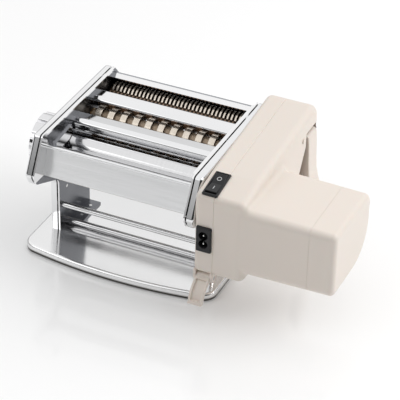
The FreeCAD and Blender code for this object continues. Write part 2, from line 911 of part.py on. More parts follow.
rail_z = deck + s.rail_rise
node(extruded("rear_panel", [
    (s.rail_front_y, rail_z), (s.rail_front_y, rail_z - t), (s.rail_back_y - t / 2, rail_z - t),
    (s.rear_skirt_y - t, deck + s.rear_skirt_top), (s.rear_skirt_y - t, deck + s.rear_skirt_low),
    (s.rear_skirt_y, deck + s.rear_skirt_low), (s.rear_skirt_y, deck + s.rear_skirt_top),
    (s.rail_back_y, rail_z)], -half_inner, s.inner_width))

# Smooth rollers: the front one is solid and driven, the rear one is a tube on two sleeves

gear_start = -frame_out - s.pair_gear_gap - s.pair_gear_width
case_in = cover_out
case_floor_x = case_in + s.case_wall
train_start = case_floor_x + s.gear_gap
train_end = train_start + s.gear_width
journal_right = frame_out + s.bush_flange_thick


def shaft_profile(core, right_end):
    return [(gear_start, 0), (right_end, 0), (right_end, s.journal_radius),
            (barrel_half, s.journal_radius), (barrel_half, core), (-barrel_half, core),
            (-barrel_half, s.journal_radius), (gear_start, s.journal_radius)]


node(turned("front_roller", shaft_profile(s.roller_radius, train_end), 0, s.roller_y, roller_z))

sleeve_bore = s.sleeve_radius + s.journal_clearance
web_end = s.roller_web - barrel_half
node(turned("rear_roller", [
    (gear_start, s.neck_bore), (web_end, s.neck_bore), (web_end, sleeve_bore),
    (barrel_half, sleeve_bore), (barrel_half, s.roller_radius), (-barrel_half, s.roller_radius),
    (-barrel_half, s.sleeve_radius), (gear_start, s.sleeve_radius)], 0, rear_roller_y, roller_z))

sleeve_end = barrel_half - s.sleeve_inset
sleeve_inner = s.eccentric_radius + s.eccentric_clearance
sleeves = [turned("roller_sleeve", tube(start, start + s.sleeve_length, sleeve_inner, s.sleeve_radius),
                  0, rear_roller_y, roller_z)
           for start in (-sleeve_end, sleeve_end - s.sleeve_length)]
node(group("roller_sleeves", sleeves))

# Adjuster: a spindle with a long eccentric inside the rear roller, and its lobed knob

knob_inner = -cover_out - s.knob_boss - s.knob_gap
spindle_left = knob_inner - s.knob_neck - s.knob_rim + s.knob_crown
adjust_spindle = turned("adjust_spindle", [
    (spindle_left, 0), (frame_out, 0), (frame_out, s.spindle_radius), (spindle_left, s.spindle_radius)],
    0, spindle_y, spindle_z)
eccentric = circle(new_sketch(adjust_spindle, "YZ", -sleeve_end),
                   s.adjuster_throw * cosine(eccentric_start),
                   s.adjuster_throw * sine(eccentric_start), s.eccentric_radius)
pad(adjust_spindle, eccentric, 2 * sleeve_end)
node(adjust_spindle)

knob_rim_in = knob_inner - s.knob_neck
knob_rim_out = knob_rim_in - s.knob_rim
knob_face = knob_rim_out - s.knob_crown
bore_end = spindle_left - 0.2
adjust_knob = turned("adjust_knob", [
    (knob_face, 0), (bore_end, 0), (bore_end, spindle_hole), (knob_inner, spindle_hole),
    (knob_inner, s.knob_neck_radius), (knob_rim_in, s.knob_neck_radius), (knob_rim_in, s.knob_radius),
    (knob_rim_out, s.knob_radius), (knob_face, s.knob_crown_radius)], 0, spindle_y, spindle_z)
slot_floor = s.knob_radius - s.knob_slot_depth
slot = rectangle(new_sketch(adjust_knob, "YZ", knob_face), slot_floor, -s.knob_slot_width / 2,
                 s.knob_radius * 1.1, s.knob_slot_width / 2)


def is_lobe_edge(edge):
    point = middle(edge)
    out_from_axis = math.hypot(point.y, point.z)
    far_out = out_from_axis > slot_floor.value + 1
    return runs_along(ALONG_X)(edge) and far_out and edge.Length > s.knob_rim.value / 2


slot_cut = cut(adjust_knob, slot, s.knob_crown + s.knob_rim)
repeat_round(adjust_knob, slot_cut, s.knob_lobes)
round_edges(adjust_knob, s.knob_lobe_round, is_lobe_edge)
node(adjust_knob)


# Cutters: ridged rollers in pairs, each ridge turning in a groove of its partner

def ridge_width(pitch):
    return pitch / 2 - s.cutter_clearance


def ridges_that_fit(pitch):
    return 1 + whole((2 * barrel_half - ridge_width(pitch)) / pitch)


fine_ridges = ridges_that_fit(s.fine_pitch)
wide_ridges = ridges_that_fit(s.wide_pitch)


def cutter(name, y, z, pitch, ridges, right_end):
    body = turned(name, shaft_profile(s.cutter_core, right_end), 0, y, z)
    width = ridge_width(pitch)
    first = -pitch * (ridges - 1) / 2
    ridge = new_sketch(body, "XY")
    rectangle(ridge, first - width / 2, s.cutter_core / 2, first + width / 2, s.cutter_radius)
    repeat_along_x(body, turn_about_x(body, ridge), ridges, pitch)
    return node(body)


cutter("wide_cutter_front", wide_y, wide_z, s.wide_pitch, wide_ridges - 1, train_end)
cutter("wide_cutter_rear", wide_rear_y, wide_z, s.wide_pitch, wide_ridges, journal_right)
cutter("fine_cutter_front", fine_y, fine_z, s.fine_pitch, fine_ridges - 1, train_end)
cutter("fine_cutter_rear", fine_rear_y, fine_z, s.fine_pitch, fine_ridges, journal_right)

# Flanged bushes of the fixed shafts in both frames

bush_bore = s.journal_radius + s.journal_clearance
flange_radius = bush_radius + s.bush_flange


def bush(side, y, z):
    profile = [(side * half_inner, bush_bore), (side * journal_right, bush_bore),
               (side * journal_right, flange_radius), (side * frame_out, flange_radius),
               (side * frame_out, bush_radius), (side * half_inner, bush_radius)]
    return turned("journal_bush", profile, 0, y, z)


node(group("journal_bushes", [bush(side, y, z) for side in (-1, 1) for y, z in driven_shafts + free_shafts]))

# Scrapers under the smooth rollers

scraper_y = [s.roller_y + 2.5, rear_roller_y + 1.8]
scraper_top = roller_z - s.roller_radius - s.scraper_gap
scraper_low = scraper_top - s.scraper_height
node(group("roller_scrapers", [
    extruded("scraper", [(y, scraper_low), (y + s.scraper_thick, scraper_low),
                         (y + s.scraper_thick, scraper_top), (y, scraper_top)], -half_inner, s.inner_width)
    for y in scraper_y]))


# Combs under the cutters, with one finger in each groove

def comb(y, z, side, pitch, gaps):
    bar_low = -s.comb_drop
    bar_high = bar_low + s.comb_thick
    u_bar = sorted([side * s.comb_start, side * (s.comb_start + s.comb_bar)], key=lambda u: u.value)
    body = new_body("comb", 0, y, z)
    bar = new_sketch(body, "YZ", -half_inner)
    rectangle(bar, u_bar[0], bar_low, u_bar[1], bar_high)
    pad(body, bar, s.inner_width)
    width = ridge_width(pitch)
    u_finger = sorted([side * (s.comb_start + 1), side * (s.comb_start + 1 + s.comb_finger)],
                      key=lambda u: u.value)
    finger = new_sketch(body, "YZ", -pitch * (gaps - 1) / 2 - width / 2)
    rectangle(finger, u_finger[0], bar_high - s.comb_thick / 2, u_finger[1], -s.cutter_core - s.scraper_gap)
    repeat_along_x(body, pad(body, finger, width), gaps, pitch)
    return body


node(group("wide_combs", [comb(wide_y, wide_z, -1, s.wide_pitch, wide_ridges - 2),
                          comb(wide_rear_y, wide_z, 1, s.wide_pitch, wide_ridges - 1)]))
node(group("fine_combs", [comb(fine_y, fine_z, -1, s.fine_pitch, fine_ridges - 2),
                          comb(fine_rear_y, fine_z, 1, s.fine_pitch, fine_ridges - 1)]))


# Spur gears: straight-sided teeth, thinner than their spaces so that they turn freely

def gear(name, x, y, z, teeth, width, bore, phase, tip, root, pitch):
    body = new_body(name, x, y, z, phase)
    disc = circle(new_sketch(body, "YZ"), 0, 0, root)
    circle(disc, 0, 0, bore)
    pad(body, disc, width)
    foot = root - (root - bore) / 3
    root_half = pitch * 0.29
    tip_half = pitch * 0.115
    tooth_sides = [(foot, -root_half), (tip, -tip_half), (tip, tip_half), (foot, root_half)]
    tooth = polygon(new_sketch(body, "YZ"), tooth_sides)
    repeat_round(body, pad(body, tooth, width), teeth)
    return node(body)


def module_gear(name, x, y, z, teeth, width, bore, phase):
    radius = pitch_radius(teeth)
    return gear(name, x, y, z, teeth, width, bore, phase, radius + s.gear_module * 0.9,
                radius - s.gear_module * 1.2, s.gear_module * math.pi)


def mesh_phase(direction, phase, teeth, partner_teeth):
    """The partner's phase that sets a space of it on the first gear's tooth, along direction."""
    return (direction + HALF_TURN - HALF_TURN / as_size(partner_teeth)
            + (direction - phase) * teeth / partner_teeth)


level = as_size(0)
roller_pitch = (s.roller_gear_tip + s.roller_gear_root) * math.pi / s.roller_gear_teeth
cutter_pitch = (s.cutter_gear_tip + s.cutter_gear_root) * math.pi / s.cutter_gear_teeth


def pair_gear(name, y, z, bore, phase, teeth, tip, root, pitch):
    return gear(name, gear_start, y, z, teeth, s.pair_gear_width, bore, phase, tip, root, pitch)


roller_gear = (s.roller_gear_teeth, s.roller_gear_tip, s.roller_gear_root, roller_pitch)
cutter_gear = (s.cutter_gear_teeth, s.cutter_gear_tip, s.cutter_gear_root, cutter_pitch)
roller_partner = mesh_phase(level, level, s.roller_gear_teeth, s.roller_gear_teeth)
cutter_partner = mesh_phase(level, level, s.cutter_gear_teeth, s.cutter_gear_teeth)
pair_gear("front_roller_gear", s.roller_y, roller_z, s.journal_radius, level, *roller_gear)
pair_gear("rear_roller_gear", rear_roller_y, roller_z, s.sleeve_radius, roller_partner, *roller_gear)
pair_gear("wide_gear_front", wide_y, wide_z, s.journal_radius, level, *cutter_gear)
pair_gear("wide_gear_rear", wide_rear_y, wide_z, s.journal_radius, cutter_partner, *cutter_gear)
pair_gear("fine_gear_front", fine_y, fine_z, s.journal_radius, level, *cutter_gear)
pair_gear("fine_gear_rear", fine_rear_y, fine_z, s.journal_radius, cutter_partner, *cutter_gear)

# Gear train of the motor unit, in mesh from the motor's pinion to the three driven shafts

wheel_start = train_end + s.wheel_gap
axle_bore = s.axle_radius + s.journal_clearance
first_idler_phase = mesh_phase(s.first_line_angle, level, s.drive_teeth, s.first_idler_teeth)
wide_phase = mesh_phase(s.first_line_angle, first_idler_phase, s.first_idler_teeth, s.cutter_drive_teeth)
second_idler_phase = mesh_phase(s.second_line_angle, wide_phase, s.cutter_drive_teeth, s.second_idler_teeth)
fine_phase = mesh_phase(s.second_line_angle, second_idler_phase, s.second_idler_teeth, s.cutter_drive_teeth)
wheel_pinion_phase = mesh_phase(s.wheel_angle, level, s.drive_teeth, s.pinion_teeth)
motor_pinion_phase = mesh_phase(s.motor_angle, level, s.wheel_teeth, s.pinion_teeth)
module_gear("roller_drive_gear", train_start, s.roller_y, roller_z, s.drive_teeth, s.gear_width,
            s.journal_radius, level)
module_gear("first_idler", train_start, first_idler_y, first_idler_z, s.first_idler_teeth, s.gear_width,
            axle_bore, first_idler_phase)
module_gear("wide_drive_gear", train_start, wide_y, wide_z, s.cutter_drive_teeth, s.gear_width,
            s.journal_radius, wide_phase)
module_gear("second_idler", train_start, second_idler_y, second_idler_z, s.second_idler_teeth, s.gear_width,
            axle_bore, second_idler_phase)
module_gear("fine_drive_gear", train_start, fine_y, fine_z, s.cutter_drive_teeth, s.gear_width,
            s.journal_radius, fine_phase)
module_gear("wheel_pinion", train_start, wheel_y, wheel_z, s.pinion_teeth, s.gear_width + s.wheel_gap,
            axle_bore, wheel_pinion_phase)
module_gear("reduction_wheel", wheel_start, wheel_y, wheel_z, s.wheel_teeth, s.wheel_width, axle_bore, level)
module_gear("motor_pinion", wheel_start, motor_y, motor_z, s.pinion_teeth, s.wheel_width, s.axle_radius,
            motor_pinion_phase)

plate_start = wheel_start + s.wheel_width + s.plate_gap
plate_end = plate_start + s.plate_thick
axles = [(first_idler_y, first_idler_z), (second_idler_y, second_idler_z), (wheel_y, wheel_z)]
node(group("gear_axles", [
    turned("gear_axle", [(case_floor_x, 0), (plate_start, 0), (plate_start, s.axle_radius),
                         (case_floor_x, s.axle_radius)], 0, y, z) for y, z in axles]))

# Motor: can, armature on its shaft, and the plate that carries the can and the axles

can_start = plate_end + s.can_nose
can_end = can_start + s.can_length
shaft_bore = s.motor_shaft_radius + s.journal_clearance
node(turned("motor_can", [
    (plate_end, shaft_bore), (can_start + s.can_wall, shaft_bore),
    (can_start + s.can_wall, s.can_radius - s.can_wall), (can_end - s.can_wall, s.can_radius - s.can_wall),
    (can_end - s.can_wall, shaft_bore), (can_end, shaft_bore), (can_end, s.can_radius),
    (can_start, s.can_radius), (can_start, s.can_nose_radius), (plate_end, s.can_nose_radius)],
    0, motor_y, motor_z))
stack_start = can_start + s.can_length / 6
stack_end = stack_start + s.armature_length
commutator_start = stack_end + s.commutator_length / 3
commutator_end = commutator_start + s.commutator_length
pinion_end = wheel_start + s.wheel_width
node(turned("armature", [
    (wheel_start, 0), (can_end, 0), (can_end, s.motor_shaft_radius),
    (commutator_end, s.motor_shaft_radius), (commutator_end, s.commutator_radius),
    (commutator_start, s.commutator_radius), (commutator_start, s.motor_shaft_radius),
    (stack_end, s.motor_shaft_radius), (stack_end, s.armature_radius),
    (stack_start, s.armature_radius), (stack_start, s.motor_shaft_radius),
    (pinion_end, s.motor_shaft_radius), (pinion_end, s.axle_radius), (wheel_start, s.axle_radius)],
    0, motor_y, motor_z))

# Motor case: the inner and outer halves share one outline in side view

case_seam = case_in + s.case_inner_depth
case_out = case_in + s.case_depth
front, back, wall = s.case_front_y, s.case_back_y, s.case_wall


def case_outline(inset):
    return [
        (front + inset, deck + s.case_floor + inset), (front + inset, deck + s.case_top_front - inset),
        (s.case_knee_y, deck + s.case_knee - inset), (back - inset, deck + s.case_top_back - inset),
        (back - inset, deck + s.case_back_low + inset / 2),
        (s.case_floor_back_y - inset / 2, deck + s.case_floor + inset)]


top_rise = (s.case_top_back - s.case_knee) / (back - s.case_knee_y)


def hollow_outline(inset):
    points = case_outline(inset)
    corner_y, corner_z = points[3]
    cut_off = 0.75 * s.case_back_corner
    points[3:4] = [(corner_y - cut_off, corner_z - top_rise * cut_off), (corner_y, corner_z - cut_off)]
    return points


def is_back_top(edge):
    high = middle(edge).z > deck.value + s.case_top_front.value
    return runs_along(ALONG_X)(edge) and high and middle(edge).y > s.case_floor_back_y.value


def is_case_corner(edge):
    knee = abs(middle(edge).y - s.case_knee_y.value) < 0.01
    return runs_along(ALONG_X)(edge) and not knee and not is_back_top(edge)


def round_case(body):
    round_edges(body, s.case_back_corner, is_back_top)
    round_edges(body, s.case_corner, is_case_corner)


bosses = [(front + 11, deck + s.case_floor + 10), (s.case_floor_back_y - 36, deck + s.case_floor + 10),
          (back - 10, deck + s.case_back_low + 40), (s.case_knee_y + 16, deck + s.case_knee - 9)]
inner_case = extruded("inner_case", case_outline(level), case_in, s.case_inner_depth)
round_case(inner_case)
round_edges(inner_case, s.case_inner_edge, lies_at(ALONG_X, case_in))
bevel_edges(inner_case, s.seam_groove, lies_at(ALONG_X, case_seam))
cut(inner_case, polygon(new_sketch(inner_case, "YZ", case_floor_x), hollow_outline(wall)), s.case_inner_depth)
standoffs = new_sketch(inner_case, "YZ", case_floor_x)
for y, z in bosses:
    circle(standoffs, y, z, s.boss_radius)
pad(inner_case, standoffs, plate_start - case_floor_x)
case_holes = new_sketch(inner_case, "YZ", case_in)
for y, z in driven_shafts:
    circle(case_holes, y, z, shaft_hole)
for y, z in bosses:
    circle(case_holes, y, z, s.screw_radius)
cut(inner_case, case_holes, plate_start - case_in)
head_holes = new_sketch(inner_case, "YZ", case_in)
for y, z in bosses:
    circle(head_holes, y, z, s.screw_head_radius)
cut(inner_case, head_holes, s.screw_head)

# Mains inlet on the front of the inner half: a flanged block with a figure-of-eight well and two pins

inlet_x = case_seam - s.inlet_inset - s.inlet_width / 2 + s.inlet_inset / 1.5
inlet_z = deck + s.inlet_rise
inlet_half = s.inlet_width / 2
inlet_front = front - s.inlet_proud
inlet_socket = new_body("inlet_socket", inlet_x, inlet_front, inlet_z)
inlet_tall = s.inlet_height / 2
flange = rectangle(new_sketch(inlet_socket, "XZ"), -inlet_half, -inlet_tall, inlet_half, inlet_tall)
pad(inlet_socket, flange, s.inlet_proud, backward=True)
round_edges(inlet_socket, s.inlet_lip, lambda e: lies_at(ALONG_Y, 0)(e) or runs_along(ALONG_Y)(e))
plug_half = inlet_half - s.inlet_lip
plug_high = s.inlet_height / 2 - s.inlet_lip
plug = rectangle(new_sketch(inlet_socket, "XZ", -s.inlet_proud), -plug_half, -plug_high, plug_half, plug_high)
pad(inlet_socket, plug, s.inlet_depth - s.inlet_proud, backward=True)
for sign in (-1, 1):
    well = circle(new_sketch(inlet_socket, "XZ"), 0, sign * s.pin_spacing / 2, s.pin_well_radius)
    cut(inlet_socket, well, s.inlet_recess, forward=False)
node(inlet_socket)

pin_back = inlet_front + s.inlet_recess
pin_profile = [(-s.pin_length, 0), (0, 0), (0, s.pin_radius), (s.pin_radius - s.pin_length, s.pin_radius),
               (-s.pin_length, s.pin_radius / 2)]
pins = [turned("inlet_pin", pin_profile,
               inlet_x, pin_back, inlet_z + sign * s.pin_spacing / 2, TILT_TO_Y)
        for sign in (-1, 1)]
node(group("inlet_pins", pins))

inlet_hole = rectangle(new_sketch(inner_case, "XZ", -front), inlet_x - plug_half, inlet_z - plug_high,
                       inlet_x + plug_half, inlet_z + plug_high)
cut(inner_case, inlet_hole, wall, forward=False)

# Lugs under the inner half for the front lock lever

front_lever_z = deck + s.front_lever_rise
lever_left = case_in + s.lug_thick
lever_right = case_seam - s.lug_thick
for start in (case_in, lever_right):
    lug = rectangle(new_sketch(inner_case, "YZ", start), s.front_lever_y - s.lug_radius, front_lever_z,
                    s.front_lever_y + s.lug_radius, deck + s.case_floor + wall)
    pad(inner_case, lug, s.lug_thick)
    eye = circle(new_sketch(inner_case, "YZ", start), s.front_lever_y, front_lever_z, s.lug_radius)
    pad(inner_case, eye, s.lug_thick)
pin_hole = circle(new_sketch(inner_case, "YZ", case_in), s.front_lever_y, front_lever_z, s.lever_pin_radius)
cut(inner_case, pin_hole, s.case_inner_depth)

# Outer half: the gear case and the motor barrel in one moulding

outer_case = extruded("outer_case", case_outline(level), case_seam, case_out - case_seam)
round_case(outer_case)
round_edges(outer_case, s.case_edge, lies_at(ALONG_X, case_out))
bevel_edges(outer_case, s.seam_groove, lies_at(ALONG_X, case_seam))
barrel_in = case_in + s.barrel_start
barrel_end = barrel_in + s.barrel_length


def barrel_corners(inset):
    return (s.barrel_front_y + inset, deck + s.barrel_low + inset,
            s.barrel_back_y - inset, deck + s.barrel_top - inset)


def barrel_section(sketch, inset):
    radii = (s.barrel_front_low_round, s.barrel_back_low_round, s.barrel_back_top_round,
             s.barrel_front_top_round)
    return rounded_rectangle(sketch, *barrel_corners(inset), [radius - inset for radius in radii])


barrel = barrel_section(new_sketch(outer_case, "YZ", barrel_in), level)
pad(outer_case, barrel, s.barrel_length, taper=s.barrel_taper)


def is_valley(edge):
    point = middle(edge)
    beside = s.barrel_front_y.value + s.case_edge.value < point.y < s.barrel_back_y.value + 1
    level_with = deck.value + s.barrel_low.value - 1 < point.z < deck.value + s.barrel_top.value + 1
    return lies_at(ALONG_X, case_out)(edge) and beside and level_with


round_edges(outer_case, s.barrel_valley, is_valley)

# Hollows of the outer half: behind the seam, beside the lever's recess, and down the barrel

recess_floor = case_out - s.recess_depth
first_hollow = recess_floor - wall
seam_hollow = polygon(new_sketch(outer_case, "YZ", case_seam), hollow_outline(wall))
cut(outer_case, seam_hollow, first_hollow - case_seam)
hollow_back = s.recess_foot_y - wall
inset = 2 * wall
second_hollow = [
    (front + inset, deck + s.case_floor + inset), (front + inset, deck + s.case_top_front - inset),
    (s.case_knee_y, deck + s.case_knee - inset),
    (hollow_back, deck + s.case_knee + top_rise * (hollow_back - s.case_knee_y) - inset),
    (hollow_back, deck + s.case_floor + inset)]
cut(outer_case, polygon(new_sketch(outer_case, "YZ", case_seam), second_hollow), case_out - wall - case_seam)
cap_shrink = s.barrel_length * tangent(s.barrel_taper)
barrel_hollow = barrel_section(new_sketch(outer_case, "YZ", first_hollow), wall + cap_shrink)
cut(outer_case, barrel_hollow, barrel_end - first_hollow)
recess = polygon(new_sketch(outer_case, "YZ", case_out), [
    (s.recess_front_y, deck + s.recess_top), (s.recess_back_y, deck + s.recess_top),
    (s.recess_back_y, deck + s.recess_low), (s.recess_foot_y, deck + s.recess_low),
    (s.recess_foot_y, deck + s.recess_foot), (s.recess_front_y, deck + s.recess_shoulder)])
cut(outer_case, recess, s.recess_depth, forward=False)
vent_middle = (s.barrel_front_y + s.barrel_back_y) / 2
vent_start = case_out + 2 * s.barrel_valley
vent_half = s.vent_length / 2
vent = rectangle(new_sketch(outer_case, "XY", deck + s.barrel_low - wall), vent_start,
                 vent_middle - vent_half, vent_start + s.vent_width, vent_middle + vent_half)
repeat_along_x(outer_case, cut(outer_case, vent, 4 * wall), s.vent_count, s.vent_pitch)
rear_lever_x = case_out - s.rear_lever_inset
rear_lever_z = deck + s.rear_lever_rise
pin_seat = wall / 2
rear_pin_start = s.recess_front_y - pin_seat
rear_pin_end = s.recess_back_y + pin_seat
rear_pin_hole = circle(new_sketch(outer_case, "XZ", -rear_pin_start), rear_lever_x, rear_lever_z,
                       s.lever_pin_radius)
cut(outer_case, rear_pin_hole, rear_pin_end - rear_pin_start, forward=False)
stop = circle(new_sketch(outer_case, "YZ", case_out - wall), s.stop_y, deck + s.stop_rise, s.stop_radius)
pad(outer_case, stop, wall + s.stop_height)
round_edges(outer_case, s.stop_height / 2, lies_at(ALONG_X, case_out + s.stop_height))
node(outer_case)

# End cap of the barrel

end_cap = new_body("end_cap")
cap_face = barrel_section(new_sketch(end_cap, "YZ", barrel_end), cap_shrink)
pad(end_cap, cap_face, s.cap_length, taper=s.barrel_taper)
cap_out = barrel_end + s.cap_length
round_edges(end_cap, s.cap_edge, lies_at(ALONG_X, cap_out))
bevel_edges(end_cap, s.cap_groove, lies_at(ALONG_X, barrel_end))
cap_hollow = barrel_section(new_sketch(end_cap, "YZ", barrel_end), wall + cap_shrink + s.cap_edge / 2)
cut(end_cap, cap_hollow, s.cap_length - wall)
node(end_cap)

# Gear plate on the inner half's standoffs, held by screws from the inner face

gear_plate = extruded("gear_plate", hollow_outline(wall + 1), plate_start, s.plate_thick)
plate_holes = new_sketch(gear_plate, "YZ", plate_start)
circle(plate_holes, motor_y, motor_z, 2 * s.motor_shaft_radius)
for y, z in bosses:
    circle(plate_holes, y, z, s.screw_radius)
cut(gear_plate, plate_holes, s.plate_thick)
node(gear_plate)

screw_reach = plate_end - case_in
node(group("case_screws", [
    turned("case_screw", [(0, 0), (screw_reach, 0), (screw_reach, s.screw_radius),
                          (s.screw_head, s.screw_radius), (s.screw_head, s.screw_head_radius),
                          (0, s.screw_head_radius)], case_in, y, z)
    for y, z in bosses]))

# Rocker switch on the sloping front of the top: bezel across the seam, button inside it

switch_x = case_seam - s.switch_inset
switch_y = (front + s.case_knee_y) / 2
switch_z = deck + (s.case_top_front + s.case_knee) / 2
switch_tilt = slope_angle(s.case_knee - s.case_top_front, s.case_knee_y - front)
bezel_half = s.bezel_width / 2
bezel_end = s.bezel_length / 2
rocker_bezel = new_body("rocker_bezel", switch_x, switch_y, switch_z, switch_tilt)
pad(rocker_bezel, rectangle(new_sketch(rocker_bezel, "XY"), -bezel_half, -bezel_end, bezel_half, bezel_end),
    s.bezel_thick)
round_edges(rocker_bezel, s.bezel_thick / 2,
            lambda e: lies_at(ALONG_Z, s.bezel_thick)(e) or runs_along(ALONG_Z)(e))
plug_side = bezel_half - s.bezel_ledge
plug_end = bezel_end - s.bezel_ledge
pad(rocker_bezel, rectangle(new_sketch(rocker_bezel, "XY"), -plug_side, -plug_end, plug_side, plug_end),
    s.bezel_body_depth, backward=True)
window_side = bezel_half - s.bezel_rim
window_end = bezel_end - s.bezel_rim
cut(rocker_bezel, rectangle(new_sketch(rocker_bezel, "XY", s.bezel_thick), -window_side, -window_end,
                            window_side, window_end), s.bezel_body_depth, forward=False)
stub_hole = s.rocker_stub_radius + s.journal_clearance
cut(rocker_bezel, circle(new_sketch(rocker_bezel, "YZ"), 0, -s.rocker_depth, stub_hole), 2 * bezel_half,
    both_ways=True)
node(rocker_bezel)

hole_side = plug_side + 0.2
hole_end = plug_end + s.bezel_ledge / 2
for shell in (inner_case, outer_case):
    hole = rectangle(new_sketch(shell, "XY", deck + s.case_knee + 1), switch_x - hole_side,
                     switch_y - hole_end, switch_x + hole_side, switch_y + hole_end)
    cut(shell, hole, s.bezel_body_depth, forward=False)

rocker_y = switch_y + s.rocker_depth * sine(switch_tilt)
rocker_z = switch_z - s.rocker_depth * cosine(switch_tilt)
rocker_half = s.rocker_length / 2
rocker_top = s.rocker_depth + s.rocker_rise
rocker_button = new_body("rocker_button", switch_x, rocker_y, rocker_z, switch_tilt)
pad(rocker_button, polygon(new_sketch(rocker_button, "YZ"), [
    (-rocker_half, rocker_top), (0, s.rocker_depth + s.rocker_dip), (rocker_half, rocker_top),
    (rocker_half - 1, -1), (1 - rocker_half, -1)]), 2 * (window_side - s.rocker_gap), both_ways=True)
rocker_shoulder = s.rocker_depth + s.rocker_dip
round_edges(rocker_button, s.rocker_dip / 2, lambda e: middle(e).z > rocker_shoulder.value + 0.1)
pad(rocker_button, circle(new_sketch(rocker_button, "YZ"), 0, 0, s.rocker_stub_radius),
    2 * (plug_side - s.rocker_gap), both_ways=True)
node(rocker_button)

# Front lock lever: a channelled arm on a pin between the lugs

lever_width = lever_right - lever_left - 2 * s.lug_room
lever_middle = (lever_left + lever_right) / 2
lever_bore = s.lever_pin_radius + s.lever_pin_room
eye_radius = s.lug_radius - 0.4
bend = s.front_lever_bend
lever_start = 100
lever_steps = 7
bend_y = -bend * math.cos(math.radians(lever_start))
bend_z = -bend * math.sin(math.radians(lever_start))


def lever_arc(radius, first, last):
    turns = [first + (last - first) * step / lever_steps for step in range(lever_steps + 1)]
    angles = [lever_start + s.front_lever_sweep * turn for turn in turns]
    return [(bend_y + radius * cosine(angle), bend_z + radius * sine(angle)) for angle in angles]


front_lever = new_body("front_lever", lever_middle, s.front_lever_y, front_lever_z)
outside = bend + s.front_lever_thick / 2
inside = bend - s.front_lever_thick / 2
arm = lever_arc(outside, 0, 1) + lever_arc(inside, 1, 0)
pad(front_lever, polygon(new_sketch(front_lever, "YZ"), arm), lever_width, both_ways=True)
pad(front_lever, circle(new_sketch(front_lever, "YZ"), 0, 0, eye_radius), lever_width, both_ways=True)
channel_start, channel_end = 0.22, 0.88
channel_top = lever_arc(outside + s.front_lever_thick, channel_start, channel_end)
channel_floor = lever_arc(outside - s.lever_recess, channel_end, channel_start)
channel = polygon(new_sketch(front_lever, "YZ"), channel_top + channel_floor)
cut(front_lever, channel, lever_width - 2 * s.lever_rim, both_ways=True)
cut(front_lever, circle(new_sketch(front_lever, "YZ"), 0, 0, lever_bore), lever_width, both_ways=True)
node(front_lever)

# Rear lock lever in the recess of the outer half

rear_lever_y = (s.recess_front_y + s.recess_back_y) / 2
half, drop = s.rear_lever_thick / 2, s.rear_lever_length
outer_side = [(0.82, 0), (0.92, -0.11), (1, -0.27), (1.06, -0.46), (1.22, -0.68), (1.6, -0.86),
              (1.95, -0.965)]
fork = [(1.7, -1), (1.05, -0.98), (0.5, -0.82), (0.05, -0.66), (-0.3, -0.82), (-0.98, -0.82)]
inner_side = [(-0.85, -0.61), (-0.7, -0.46), (-0.95, -0.32), (-1.18, -0.21), (-0.96, -0.06), (-0.82, 0)]
rear_lever = new_body("rear_lever", rear_lever_x, rear_lever_y, rear_lever_z)
finger = [(across * half, down * drop) for across, down in outer_side + fork + inner_side]
pad(rear_lever, polygon(new_sketch(rear_lever, "XZ"), finger), s.rear_lever_width, both_ways=True)
pad(rear_lever, circle(new_sketch(rear_lever, "XZ"), 0, 0, 0.82 * half), s.rear_lever_width, both_ways=True)
round_edges(rear_lever, s.lever_round, lambda e: abs(abs(middle(e).y) - s.rear_lever_width.value / 2) < 0.01)
cut(rear_lever, circle(new_sketch(rear_lever, "XZ"), 0, 0, lever_bore), s.rear_lever_width, both_ways=True)
node(rear_lever)

pin_radius = s.lever_pin_radius
pin_profile = [(case_in, 0), (case_seam, 0), (case_seam, pin_radius), (case_in, pin_radius)]
front_pin = turned("front_lever_pin", pin_profile,
                   0, s.front_lever_y, front_lever_z)
rear_pin = turned("rear_lever_pin", [(0, 0), (rear_pin_end - rear_pin_start, 0),
                                     (rear_pin_end - rear_pin_start, pin_radius), (0, pin_radius)],
                  rear_lever_x, rear_pin_start, rear_lever_z, TILT_TO_Y)
node(group("lever_pins", [front_pin, rear_pin]))
node(inner_case)

# Every object is sound, every cut takes something away, and each node goes to its own file

doc.recompute()
for thing in doc.Objects:
    if "Invalid" in thing.State or "Error" in thing.State:
        raise RuntimeError("%s did not compute" % thing.Label)
for feature in doc.findObjects("PartDesign::Pocket"):
    if feature.BaseFeature.Shape.Volume - feature.Shape.Volume < 0.01:
        raise RuntimeError("%s cuts nothing" % feature.Label)
os.makedirs("parts", exist_ok=True)
for piece in NODES:
    if piece.Shape.isNull() or not piece.Shape.isValid():
        raise RuntimeError("%s is not a sound shape" % piece.Label)
    piece.Shape.exportStep("parts/%s.step" % piece.Label)
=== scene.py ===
import math
import bpy
import bmesh
from mathutils import Matrix, Vector


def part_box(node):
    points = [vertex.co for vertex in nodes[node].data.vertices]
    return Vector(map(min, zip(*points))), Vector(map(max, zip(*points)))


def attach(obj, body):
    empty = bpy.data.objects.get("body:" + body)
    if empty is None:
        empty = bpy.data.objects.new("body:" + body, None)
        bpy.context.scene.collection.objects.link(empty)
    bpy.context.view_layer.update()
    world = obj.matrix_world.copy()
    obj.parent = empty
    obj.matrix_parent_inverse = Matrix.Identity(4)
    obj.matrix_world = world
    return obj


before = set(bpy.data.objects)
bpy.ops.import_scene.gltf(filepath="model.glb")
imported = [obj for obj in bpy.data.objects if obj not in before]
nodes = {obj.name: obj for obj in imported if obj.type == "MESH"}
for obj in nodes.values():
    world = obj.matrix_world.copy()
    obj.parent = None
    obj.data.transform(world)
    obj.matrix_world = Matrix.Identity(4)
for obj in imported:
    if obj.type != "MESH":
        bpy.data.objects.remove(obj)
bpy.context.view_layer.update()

scene = bpy.context.scene
scene.view_settings.view_transform = "Standard"

